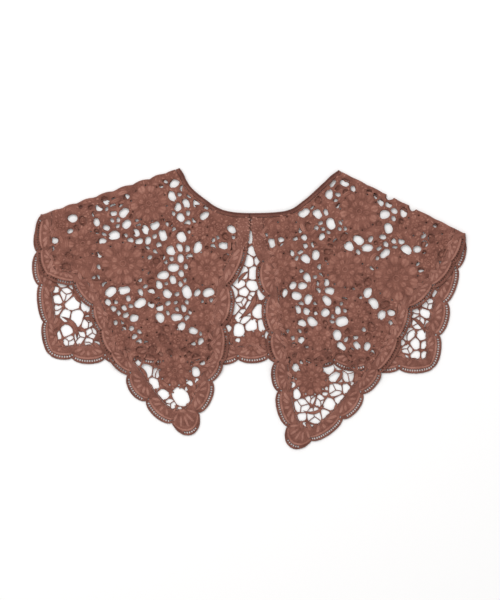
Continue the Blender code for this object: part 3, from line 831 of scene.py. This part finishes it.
def front_lay(side):
    """How a front lies: over the back, round its uneven shoulder, and down past the hem."""
    fold = FOLDS[side]

    def lay(x, y, height):
        depth = float(depth_in(fold, (x, y)))
        along = float((np.array((x, y)) - fold.neck) @ fold.along)
        ends = min(1.0, max(0.0, along / FOLD_ENDS), max(0.0, (fold.length - along) / FOLD_ENDS))
        drift = 0.5 * math.sin(along / WAVE_DRIFT)
        wave = 2.0 * abs(math.sin(along / WAVE_LONG + drift)) - WAVE_LOW
        fade = min(1.0, max(0.0, 1.0 - depth / FOLD_FADE), max(0.0, (depth + WRAP) / FLANGE))
        shift = -fold.inward * FOLD_WAVE[side] * wave * ends * fade
        if depth >= 0:
            past = (np.interp(x, HEM_X, HEM_Y) - HEM_CLEAR - y) / DROP_LENGTH
            past = min(max(past, 0.0), 1.0)
            level = FRONT_LEVEL * (1 - past * past * (3 - 2 * past))
            return x + shift[0], y + shift[1], level + height
        radius = FOLD_INNER + height
        middle = WALL + FOLD_INNER
        foot = np.array((x, y)) - fold.inward * depth + shift
        turn = -depth / FOLD_MIDDLE
        if turn < math.pi:
            foot = foot - fold.inward * radius * math.sin(turn)
            return foot[0], foot[1], max(TABLE_CLEAR, middle + radius * math.cos(turn))
        foot = foot + fold.inward * (-depth - math.pi * FOLD_MIDDLE)
        return foot[0], foot[1], max(TABLE_CLEAR, WALL - height)

    return lay


def bend_lines(side):
    """The lines round a shoulder on which its cloth bends."""
    fold = FOLDS[side]
    spots = np.arange(-PAST_EDGE, fold.length + PAST_EDGE, BEND_STEP)[:, None]
    return [fold.neck + fold.inward * start + fold.along * spots for start in FRONT_STARTS]


def front_line(side, shift, along):
    """A line of a front that follows the neck edge, from its shoulder to the centre."""
    line = shifted(neck_line, -shift)
    if side == "right":
        line = line[::-1]
    return from_fold(FOLDS[side], along, line, FRONT_STARTS)


under_bands = {side: front_line(side, BAND + SEAM, BAND + SEAM) for side in FOLDS}
front_seams = {}
dice = dice_for("back", "ground")
lined_up = np.array([place for place in back_places if dice.random() < LINED_UP])
for side, fold in FOLDS.items():
    outward = OUTWARD[side]
    seam = smooth_line(shifted(np.array(FRONT_DIPS[side])[:, :2], -outward * BORDER), SEAM_STEP)
    seam = from_fold(fold, fold.length - BORDER, seam, FRONT_STARTS)
    lace_top = cut_at(under_bands[side], seam[-1][0])
    seam[-1] = lace_top[-1]
    front_seams[side] = seam
    outlines[side] = np.vstack([seam, lace_top[:-1][::-1]])
    lays[side] = front_lay(side)
    places = gap_places(side, outlines[side], lined_up)
    panel_ground(side, outlines[side], places, back_gaps, bend_lines(side), lays[side])


# The flowers are raised satin stitch, worked over the ground in the same cotton: two whorls
# of petals, each petal with a vein, round a small open ring.

Work = namedtuple("Work", "points faces tones threads dice lay")
Satin = namedtuple("Satin", "blunt low high least tones vein slant", defaults=(0.5,))
PETAL_HIGH = {"back": 1.35, "left": 1.7, "right": 1.7}
PETALS = {part: Satin(1.0, 0.45, high, 0.88, (-0.12, 0.12), 0.4) for part, high in PETAL_HIGH.items()}
SATIN_END = 1.3
SATIN_CREST_HIGHLIGHT = 0.85
VEIN_WIDTH = 0.24
POINT_HALF = 0.12
PETAL_ROWS = 8
PETAL_FULL = 0.47
PETAL_STOUT = 0.42
PETAL_BOW = 0.06
WIDEST_AT = 0.6
ACROSS = np.linspace(-1.0, 1.0, 7)
CORD_SIDES = 7
CORD_LOW = 0.05
CORD_TOP_HIGHLIGHT = 0.3
BEAD_PITCH = 2.2
RING_CORD = 0.6
RING_SIDES = 18
RING_LEAST = 1.2
RING_SHARE = 0.13
RING_SUNK = 0.7
RING_TONE = 0.1
Whorl = namedtuple("Whorl", "foot tip offset")
OUTER = Whorl(foot=0.5, tip=1.0, offset=0.0)
INNER = Whorl(foot=0.22, tip=0.55, offset=0.5)


def distances_along(line):
    """How far each point of a line is from its start, measured along it."""
    return np.concatenate([[0.0], np.cumsum(lengths(np.diff(line, axis=0)))])


def begun(part, kind):
    """A piece of needlework on a panel, with no stitches yet."""
    return Work([], [], [], [], dice_for(part, kind), lays[part])


def drawn(dice, low, high):
    """A value drawn between two ends, or the one value where they are the same."""
    return dice.uniform(low, high) if low < high else low


def swayed(work, most):
    """A value drawn from as far below zero as above it."""
    return work.dice.uniform(-most, most)


def satin(work, kind, spine, halves):
    """Adds one satin form along a spine: domed across, with a vein along its middle. Its
    height is a share of its kind's, from the least up to one."""
    points, faces, tones, threads, dice, lay = work
    high = kind.high * drawn(dice, kind.least, 1.0)
    tone = drawn(dice, *kind.tones)
    side = left_of(unit_ways(np.gradient(spine, axis=0)))
    along = distances_along(spine)
    first = len(points)
    rows, columns = len(spine), len(ACROSS)
    widest = halves.max()
    for i in range(rows):
        ends = 0.0 if i in (0, rows - 1) else min(1.0, SATIN_END * halves[i] / widest)
        for v in ACROSS:
            dome = math.sqrt(1 - v * v) * ends
            dome *= 1 - kind.vein * math.exp(-(v / VEIN_WIDTH) ** 2)
            x, y = spine[i] + side[i] * halves[i] * v
            points.append([float(c) for c in lay(x, y, kind.low + (high - kind.low) * dome)])
            # Painted shade: each form is painted lighter on its dome's crest and darker at its rims and
            # along its vein, over a tone drawn at random.
            tones.append(tone + SATIN_CREST_HIGHLIGHT * dome)
            threads.append((along[i] - kind.slant * abs(v) * halves[i], halves[i] * v))
    for i in range(rows - 1):
        for j in range(columns - 1):
            a = first + i * columns + j
            faces.append((a, a + columns, a + columns + 1, a + 1))
    rim = [first + j for j in range(columns)]
    rim += [first + i * columns + columns - 1 for i in range(1, rows)]
    rim += [first + (rows - 1) * columns + j for j in range(columns - 2, -1, -1)]
    rim += [first + i * columns for i in range(rows - 2, 0, -1)]
    faces.append(tuple(rim))


def leaf_form(work, kind, spine, half):
    """Adds a leaf or petal from its foot to its tip. Blunt ones are widest past the middle."""
    t = np.linspace(0.0, 1.0, len(spine))
    full = np.maximum(np.sin(math.pi * t ** (1 + 0.5 * kind.blunt)), 0.0) ** (1 - 0.4 * kind.blunt)
    satin(work, kind, spine, half * full + POINT_HALF)


def tube(work, rows, closed=False):
    """Adds a tube from its rows of points, each with its height, its tone with its painted shade, and
    its thread.
    """
    points, faces, tones, threads, _, lay = work
    first, count, sides = len(points), len(rows), len(rows[0])
    for row in rows:
        for (x, y), height, tone, thread in row:
            points.append([float(c) for c in lay(x, y, height)])
            tones.append(tone)
            threads.append(thread)
    for i in range(count if closed else count - 1):
        here, there = first + i * sides, first + (i + 1) % count * sides
        for j in range(sides):
            k = (j + 1) % sides
            faces.append((here + j, here + k, there + k, there + j))
    if not closed:
        faces.append(tuple(first + j for j in reversed(range(sides))))
        faces.append(tuple(first + (count - 1) * sides + j for j in range(sides)))


def cord_along(work, line, thick, height, tone, closed=False, bead=0.0):
    """Adds a round cord along a line: its radius, and its height over the panel's underside."""
    ahead = np.roll(line, -1, axis=0) - np.roll(line, 1, axis=0) if closed else np.gradient(line, axis=0)
    rows = []
    for spot, side, along in zip(line, left_of(unit_ways(ahead)), distances_along(line)):
        radius = thick * (1 + bead * math.sin(2 * math.pi * along / BEAD_PITCH))
        # Painted highlight: a cord is painted lighter over its top and darker underneath.
        rows.append([(spot + side * radius * math.cos(turn),
                      max(CORD_LOW, height + radius * math.sin(turn)),
                      tone + CORD_TOP_HIGHLIGHT * (1 + math.sin(turn)), (along, radius * turn))
                     for turn in turns_of(CORD_SIDES)])
    tube(work, rows, closed)


def flower_stitches(work, flower, kind):
    """Adds one flower: its outer and inner petals and the ring at its middle."""
    middle = np.array((flower.x, flower.y))
    for count, whorl in ((petals_of(flower), OUTER), (flower.petals, INNER)):
        for k in range(count):
            turn = math.radians(flower.turn) + 2 * math.pi * (k + whorl.offset) / count
            way = flower.radius * heading(turn)
            widest = (1 - WIDEST_AT) * whorl.foot + WIDEST_AT * whorl.tip
            around = 2 * math.pi * flower.radius * widest
            half = min(PETAL_FULL * around / count,
                       PETAL_STOUT * flower.radius * (whorl.tip - whorl.foot) + RING_LEAST)
            spine = curved(middle + way * whorl.foot, middle + way * whorl.tip,
                           swayed(work, PETAL_BOW), PETAL_ROWS)
            leaf_form(work, kind, spine, half)
    ring = max(RING_LEAST, RING_SHARE * flower.radius) * circle_of(RING_SIDES)
    cord_along(work, middle + ring, RING_CORD, kind.high - RING_SUNK, RING_TONE, closed=True)


for part in PANEL:
    work = begun(part, "flowers")
    for flower in FLOWERS[part]:
        flower_stitches(work, flower, PETALS[part])
    stitched(PANEL[part] + "_flowers", *work[:4], lace_cotton, "lace", grounds[part])


# The leaves are satin stitch too. They fill the ground between the flowers, and a few
# slender ones hang in the open grounds. Thin bars cross some of the widest gaps there.

LEAVES = {part: Satin(0.2, 0.45, high - 0.1, 0.85, (-0.12, 0.15), 0.45)
          for part, high in PETAL_HIGH.items()}
OPEN_LEAF = Satin(0.2, 0.25, 1.25, 1.0, (-0.05, -0.05), 0.4)
SEED = Satin(0.0, 0.45, 1.25, 1.0, (-0.15, 0.15), 0.0)
BAR_CORD = 0.45
BAR_GAP = 3.4
BAR_GAP_WIDE = 1.25 * BAR_GAP
BAR_SHARE = 0.3
BAR_BOW = 0.12
BAR_ROWS = 6
BAR_LEVEL = 0.6
BAR_SHADE = -0.1
BAR_PAST = 0.1
HUB_OFF = 0.8
BAR_ARMS = (0, 7)
WIDE_ARMS = (0, 5, 9)
SEED_TRIES = 9000
SEED_REACH = (1.5, 2.6)
SEED_ROWS = 6
SEED_CLEAR = 0.55
SEED_APART = 0.75
SEED_BOW = 0.2
SEED_HALF = 0.45
SEED_FOLD = 0.5
SEED_OFF_FLOWER = 0.97
SEED_OFF_LEAF = 0.8
OPEN_LEAF_ROWS = 11
OPEN_LEAVES = {
    "back": [((6, 20), (-11, -9), 0.14, 2.8), ((-189, -7), (-173, -30), 0.2, 2.4),
             ((-168, -9), (-152, -13), 0.1, 2.2), ((-175, 22), (-168, 6), -0.15, 1.8),
             ((160, -8), (175, -24), 0.15, 2.0), ((-12, 26), (-2, 38), 0.1, 1.7)],
    "left": [((-112, -56), (-103, -72), 0.12, 1.7)],
    "right": [((53, -101), (74, -96), -0.22, 1.6), ((92, -60), (84, -74), 0.15, 1.7)]}


def seed_stitches(work, outline, taken):
    """Adds short seed stitches that fill an outline between the round spots already taken."""
    dice = work.dice
    low, high = outline.min(axis=0), outline.max(axis=0)
    seeds = np.array([(dice.uniform(low[0], high[0]), dice.uniform(low[1], high[1]),
                       dice.uniform(*SEED_REACH)) for _ in range(SEED_TRIES)])
    seeds = seeds[inside(outline, seeds[:, :2])]
    for fold in FOLDS.values():
        seeds = seeds[depth_in(fold, seeds[:, :2]) > SEED_FOLD]
    for x, y, reach in taken:
        seeds = seeds[off_from((x, y), seeds) > reach + SEED_CLEAR * seeds[:, 2]]
    while len(seeds):
        x, y, reach = seeds[0]
        turn = dice.uniform(0.0, math.pi)
        way = reach * heading(turn)
        spine = curved((x, y) - way, (x, y) + way, swayed(work, SEED_BOW), SEED_ROWS)
        leaf_form(work, SEED, spine, SEED_HALF * reach)
        seeds = seeds[off_from((x, y), seeds) > SEED_APART * (reach + seeds[:, 2])]


def bars_across(work, part, ring):
    """Adds the thin bars of a wide gap in an open ground, from a spot inside it to its rim."""
    middle = ring.mean(axis=0)
    reach = rim_reach(ring)
    if not in_wide_ground(part, middle) or work.dice.random() >= BAR_SHARE or reach <= BAR_GAP:
        return
    turn = work.dice.randrange(ROUND_GAP)
    hub = middle + (swayed(work, HUB_OFF), swayed(work, HUB_OFF))
    for arm in WIDE_ARMS if reach > BAR_GAP_WIDE else BAR_ARMS:
        foot = ring[(turn + arm) % ROUND_GAP]
        foot = foot + BAR_PAST * (foot - middle)
        cord_along(work, curved(hub, foot, swayed(work, BAR_BOW), BAR_ROWS), BAR_CORD, BAR_LEVEL,
                   BAR_SHADE)


for part in PANEL:
    work = begun(part, "filling")
    taken = [(flower.x, flower.y, SEED_OFF_FLOWER * flower.radius) for flower in FLOWERS[part]]
    taken += [(x, y, SEED_OFF_LEAF * leaf.half) for leaf in leaves[part] for x, y in leaf.spine]
    taken += [(*ring.mean(axis=0), rim_reach(ring)) for ring in open_gaps[part]]
    seed_stitches(work, outlines[part], taken)
    for leaf in leaves[part]:
        leaf_form(work, LEAVES[part], leaf.spine, leaf.half)
    for start, end, bow, half in OPEN_LEAVES[part]:
        leaf_form(work, OPEN_LEAF, curved(start, end, bow, OPEN_LEAF_ROWS), half)
    for ring in wide_gaps[part]:
        bars_across(work, part, ring)
    stitched(PANEL[part] + "_leaves", *work[:4], lace_cotton, "lace", grounds[part])


# The edging is a scalloped guipure border sewn round the lace, with a beaded rim cord, open
# slits, and in each scallop a satin crescent and a fan of short petals. By the neck the
# fronts' edges are plainer, and filled with seed stitches.

SPRIG = Satin(0.2, 0.5, 1.5, 1.0, (-0.1, 0.12), 0.45)
CRESCENT = Satin(0.0, 0.5, 1.4, 0.9, (-0.06, -0.06), 0.0, slant=0.0)
FAN = Satin(0.9, 0.5, 1.4, 0.9, (0.1, 0.1), 0.25)
RIM_INSET = 0.85
RIM_CORD = 0.85
RIM_LEVEL = 0.75
# Painted shade: the rim cord is painted darker along the collar's outer edge.
RIM_SHADE = -0.25
RIM_BEAD = 0.16
SLIT_INSET = 3.4
SLIT_PITCH = 2.35
SLIT_LONG = 1.45
SLIT_WIDE = 0.78
SLIT_SIDES = 10
SLIT_CLEAR = 1.9
SLIT_APART = 0.85 * SLIT_PITCH
SLIT_FOLD = 2.0
SLIT_FINE = 60
CRESCENT_INSET = 5.6
CRESCENT_HALF = 1.55
CRESCENT_SPAN = (0.07, 0.93)
CRESCENT_ROUND = 0.6
CRESCENT_END = 0.1
CRESCENT_ROWS = 14
CRESCENT_LEAST = 6
FAN_INSET = 7.4
FAN_HALF = 0.2604
FAN_SPAN = (0.14, 0.86)
FAN_FOOT = BORDER - 1.4
FAN_START = 0.25
FAN_BOW = 0.05
FIVE_PETALS = 26
FOLD_CLEAR = 3.0
SPRIG_PITCH = 6.5
SPRIG_SHIFT = 1.0
SPRIG_TURN = (0.35, 0.9)
SPRIG_REACH = (4.2, 6.2)
SPRIG_HALF = (1.7, 2.2)
SPRIG_BOW = 0.2
SPRIG_CLEAR = 4.0
SPRIG_ROWS = 9
LOBE_STEPS = 12
RIM_STEPS = 16
PLAIN_FROM = 62.0
PLAIN_LEAD = 4.0
PLAIN_WITHIN = 40.0
SHOULDER_FROM = 100.0
edging_cotton = cotton("edging_cotton", (0.18, 0.067, 0.048), (0.322, 0.135, 0.1),
                       (0.47, 0.228, 0.178), 0.6, 0.00025)


def lobe_point(start, end, outward, t, inset):
    """A point of one scallop: t runs from dip to dip, and inset is in from its edge."""
    first, last = np.array((start.x, start.y)), np.array((end.x, end.y))
    way = (last - first) / np.linalg.norm(last - first)
    side = outward * np.array((-way[1], way[0]))
    turn = math.pi * t
    share = (1 - math.cos(turn)) / 2
    return first + (last - first) * share + side * (end.lobe * math.sin(turn) - inset)


def scalloped(dips, outward, inset, count):
    """The scalloped edge, moved in by an inset."""
    line = [lobe_point(start, end, outward, k / count, inset)
            for start, end in zip(dips, dips[1:]) for k in range(count)]
    line.append(lobe_point(dips[-2], dips[-1], outward, 1.0, inset))
    return np.array(line)


def spot_on(line, along, distance):
    """The point of a line at a distance along it."""
    return np.array([np.interp(distance, along, line[:, c]) for c in (0, 1)])


def slits_for(dips, outward, outline):
    """The open slits inside the rim of every scallop."""
    wide, long = circle_of(SLIT_SIDES).T[:, :, None]
    rings = []
    middles = np.empty((0, 2))
    for start, end in zip(dips, dips[1:]):
        line = np.array([lobe_point(start, end, outward, t, SLIT_INSET)
                         for t in np.linspace(0, 1, SLIT_FINE)])
        along = distances_along(line)
        count = int(along[-1] / SLIT_PITCH)
        for k in range(count):
            spot = (k + 0.5) * along[-1] / count
            middle = spot_on(line, along, spot)
            ahead = spot_on(line, along, spot + 0.5) - middle
            ahead = ahead / np.linalg.norm(ahead)
            across = np.array((-ahead[1], ahead[0]))
            ring = middle + (SLIT_WIDE * wide * ahead + SLIT_LONG * long * across)
            if len(middles) and lengths(middles - middle).min() < SLIT_APART:
                continue
            if fold_room(ring) < SLIT_FOLD:
                continue
            if inside(outline, middle + SLIT_CLEAR * (ring - middle)).all():
                rings.append(ring)
                middles = np.vstack([middles, middle])
    return rings


def worked_dips(part, dips):
    """The dips between scallops that are worked: a front's edge is plain at the neck."""
    return [dip for dip in dips
            if part == "back" or dip.y < PLAIN_FROM or abs(dip.x) > SHOULDER_FROM]


def seam_sprigs(work, part, seam_line):
    """Adds slanting leaves over the seam of lace and edging, off the wide gaps."""
    dice = work.dice
    along = distances_along(seam_line)
    for spot in np.arange(SPRIG_PITCH, along[-1] - SPRIG_PITCH, SPRIG_PITCH):
        spot += swayed(work, SPRIG_SHIFT)
        middle = spot_on(seam_line, along, spot)
        ahead = spot_on(seam_line, along, spot + 1.0) - middle
        turn = math.atan2(ahead[1], ahead[0]) + dice.choice((-1, 1)) * dice.uniform(*SPRIG_TURN)
        reach = dice.uniform(*SPRIG_REACH) * heading(turn)
        if fold_room(middle) < SPRIG_PITCH:
            continue
        if min(lengths(ring - middle).min() for ring in wide_gaps[part]) < SPRIG_CLEAR:
            continue
        spine = curved(middle - reach, middle + reach, swayed(work, SPRIG_BOW), SPRIG_ROWS)
        leaf_form(work, SPRIG, spine, dice.uniform(*SPRIG_HALF))


def scallop_stitches(work, start, end, outward, outline):
    """Adds one scallop's crescent and its fan of short petals."""
    spots = np.linspace(*CRESCENT_SPAN, CRESCENT_ROWS)
    spine = np.array([lobe_point(start, end, outward, t, CRESCENT_INSET) for t in spots])
    clear = inside(outline, spine) & [fold_room(point) > FOLD_CLEAR for point in spine]
    if clear.sum() < CRESCENT_LEAST:
        return
    full = np.sin(math.pi * spots[clear]) ** CRESCENT_ROUND
    satin(work, CRESCENT, spine[clear], CRESCENT_HALF * full + CRESCENT_END)
    foot = np.array(((start.x + end.x) / 2, (start.y + end.y) / 2))
    span = np.hypot(end.x - start.x, end.y - start.y)
    out = lobe_point(start, end, outward, 0.5, 0.0) - foot
    foot = foot - out / np.linalg.norm(out) * FAN_FOOT
    count = 5 if span > FIVE_PETALS else 4
    for t in np.linspace(*FAN_SPAN, count):
        tip = lobe_point(start, end, outward, t, FAN_INSET)
        near = foot + (tip - foot) * FAN_START
        if fold_room([tip, near]) < FOLD_CLEAR or not inside(outline, [tip, near]).all():
            continue
        spine = curved(near, tip, swayed(work, FAN_BOW), PETAL_ROWS)
        leaf_form(work, FAN, spine, FAN_HALF * span / count)


def edging(part, dips, outward, outline, rim_line, seam_line, bends):
    """One panel's edging: its ground, rim cord, sprigs, crescents and fans."""
    dips = worked_dips(part, dips)
    slits = slits_for(dips, outward, outline)
    base = PANEL[part] + "_edging"
    ground = ground_piece(base + "_ground", outline, slits, bends, lays[part], edging_cotton,
                          "edging")
    declare_cloth(part, "back_edging_ground")
    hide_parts(base)
    work = begun(part, "edging")
    cord_along(work, rim_line, RIM_CORD, RIM_LEVEL, RIM_SHADE, bead=RIM_BEAD)
    seam_sprigs(work, part, seam_line)
    for start, end in zip(dips, dips[1:]):
        scallop_stitches(work, start, end, outward, outline)
    if part != "back":
        near = (outline[:, 1] > PLAIN_FROM - PLAIN_LEAD) & (abs(outline[:, 0]) < PLAIN_WITHIN)
        seed_stitches(work, outline[near], [])
    stitched(base + "_stitching", *work[:4], edging_cotton, "edging", ground)


outer_seam = shifted(back_seam, -SEAM)
outer_seam[0] = back_seam[0] + left_fold.along * SEAM
outer_seam[-1] = back_seam[-1] + right_fold.along * SEAM
ends = [fold.outer + fold.inward * BACK_START for fold in (left_fold, right_fold)]
edge = np.vstack([ends[0], scalloped(BACK_DIPS, -1, 0.0, LOBE_STEPS)[1:-1], ends[1]])
rim_line = np.vstack([ends[0] - left_fold.along * RIM_INSET,
                      scalloped(BACK_DIPS, -1, RIM_INSET, RIM_STEPS)[3:-3],
                      ends[1] - right_fold.along * RIM_INSET])
edging("back", BACK_DIPS, -1, np.vstack([edge, outer_seam[::-1]]), rim_line, back_seam, [])
for side, fold in FOLDS.items():
    dips = FRONT_DIPS[side]
    outward = OUTWARD[side]
    seam = front_seams[side]
    edge = from_fold(fold, fold.length, scalloped(dips, outward, 0.0, LOBE_STEPS), FRONT_STARTS)
    edge_end = cut_at(under_bands[side], dips[-1].x)[-1]
    outer_seam = shifted(seam, outward * SEAM)
    outer_seam[-1] = cut_at(under_bands[side], seam[-1][0] - outward * SEAM)[-1]
    leads = len(FRONT_STARTS)
    outer_seam[:leads] = seam[:leads] + fold.along * SEAM
    outline = np.vstack([edge[:-1], edge_end, outer_seam[::-1]])
    rim_line = scalloped(worked_dips(side, dips), outward, RIM_INSET, RIM_STEPS)
    rim_line = from_fold(fold, fold.length - RIM_INSET, rim_line, FRONT_STARTS)
    edging(side, dips, outward, outline, rim_line, seam, bend_lines(side))


# The neck band is a narrow woven cotton tape, folded over the lace's raw neck edge and sewn
# down. Its upper edge is a rolled cord, painted darker as painted shade.

CENTRE_FRONT = {"left": -0.4, "right": 0.2}
BAND_LOW = 0.15
BAND_HIGH = 0.98
BAND_PROFILE = ((-1.0, 0.0), (-0.97, 0.75), (-0.8, 1.0), (-0.4, 0.9), (0.0, 0.94), (0.4, 0.9),
                (0.8, 1.0), (0.97, 0.75), (1.0, 0.0))
BAND_TONE = 0.1
# Painted highlight: the tape is painted lighter where it stands higher, along its raised edges.
BAND_RAISED_HIGHLIGHT = 0.4
NECK_FINE = 2.0
ROLL_DOWN = 1.2
ROLL_CORD = 0.6
ROLL_LEVEL = 0.75
# Painted shade: the rolled cord at the tape's upper edge is painted darker.
ROLL_SHADE = -0.5
band_cotton = cotton("band_cotton", (0.12, 0.041, 0.03), (0.22, 0.085, 0.062),
                     (0.35, 0.155, 0.115), 0.9, 0.0002)


def neck_run(part, down):
    """A line along a panel's neck edge, a little way down from it."""
    if part == "back":
        return smooth_line(across_back(shifted(neck_line, -down), down, down), NECK_FINE)
    line = cut_at(front_line(part, down, down), CENTRE_FRONT[part])
    leads = len(FRONT_STARTS) - 1
    return np.vstack([line[:leads], smooth_line(line[leads:], NECK_FINE)])


def neck_tape(part):
    """One panel's length of the tape, slightly raised along both of its edges."""
    line = neck_run(part, BAND / 2)
    sides = left_of(unit_ways(np.gradient(line, axis=0)))
    rows = [[(spot + side * across * BAND / 2, BAND_LOW + (BAND_HIGH - BAND_LOW) * lift,
              BAND_TONE + BAND_RAISED_HIGHLIGHT * lift, (along, across * BAND / 2))
             for across, lift in BAND_PROFILE]
            for spot, side, along in zip(line, sides, distances_along(line))]
    work = begun(part, "band")
    tube(work, rows)
    name = PANEL[part] + "_neck_tape"
    tape = stitched(name, *work[:4], band_cotton, "neck_band", grounds[part])
    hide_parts(part + "_neck_band")
    return tape


tapes = {part: neck_tape(part) for part in PANEL}
for part, tape in tapes.items():
    work = begun(part, "band")
    cord_along(work, neck_run(part, ROLL_DOWN), ROLL_CORD, ROLL_LEVEL, ROLL_SHADE)
    stitched(part + "_neck_cord", *work[:4], band_cotton, "neck_band", tape)
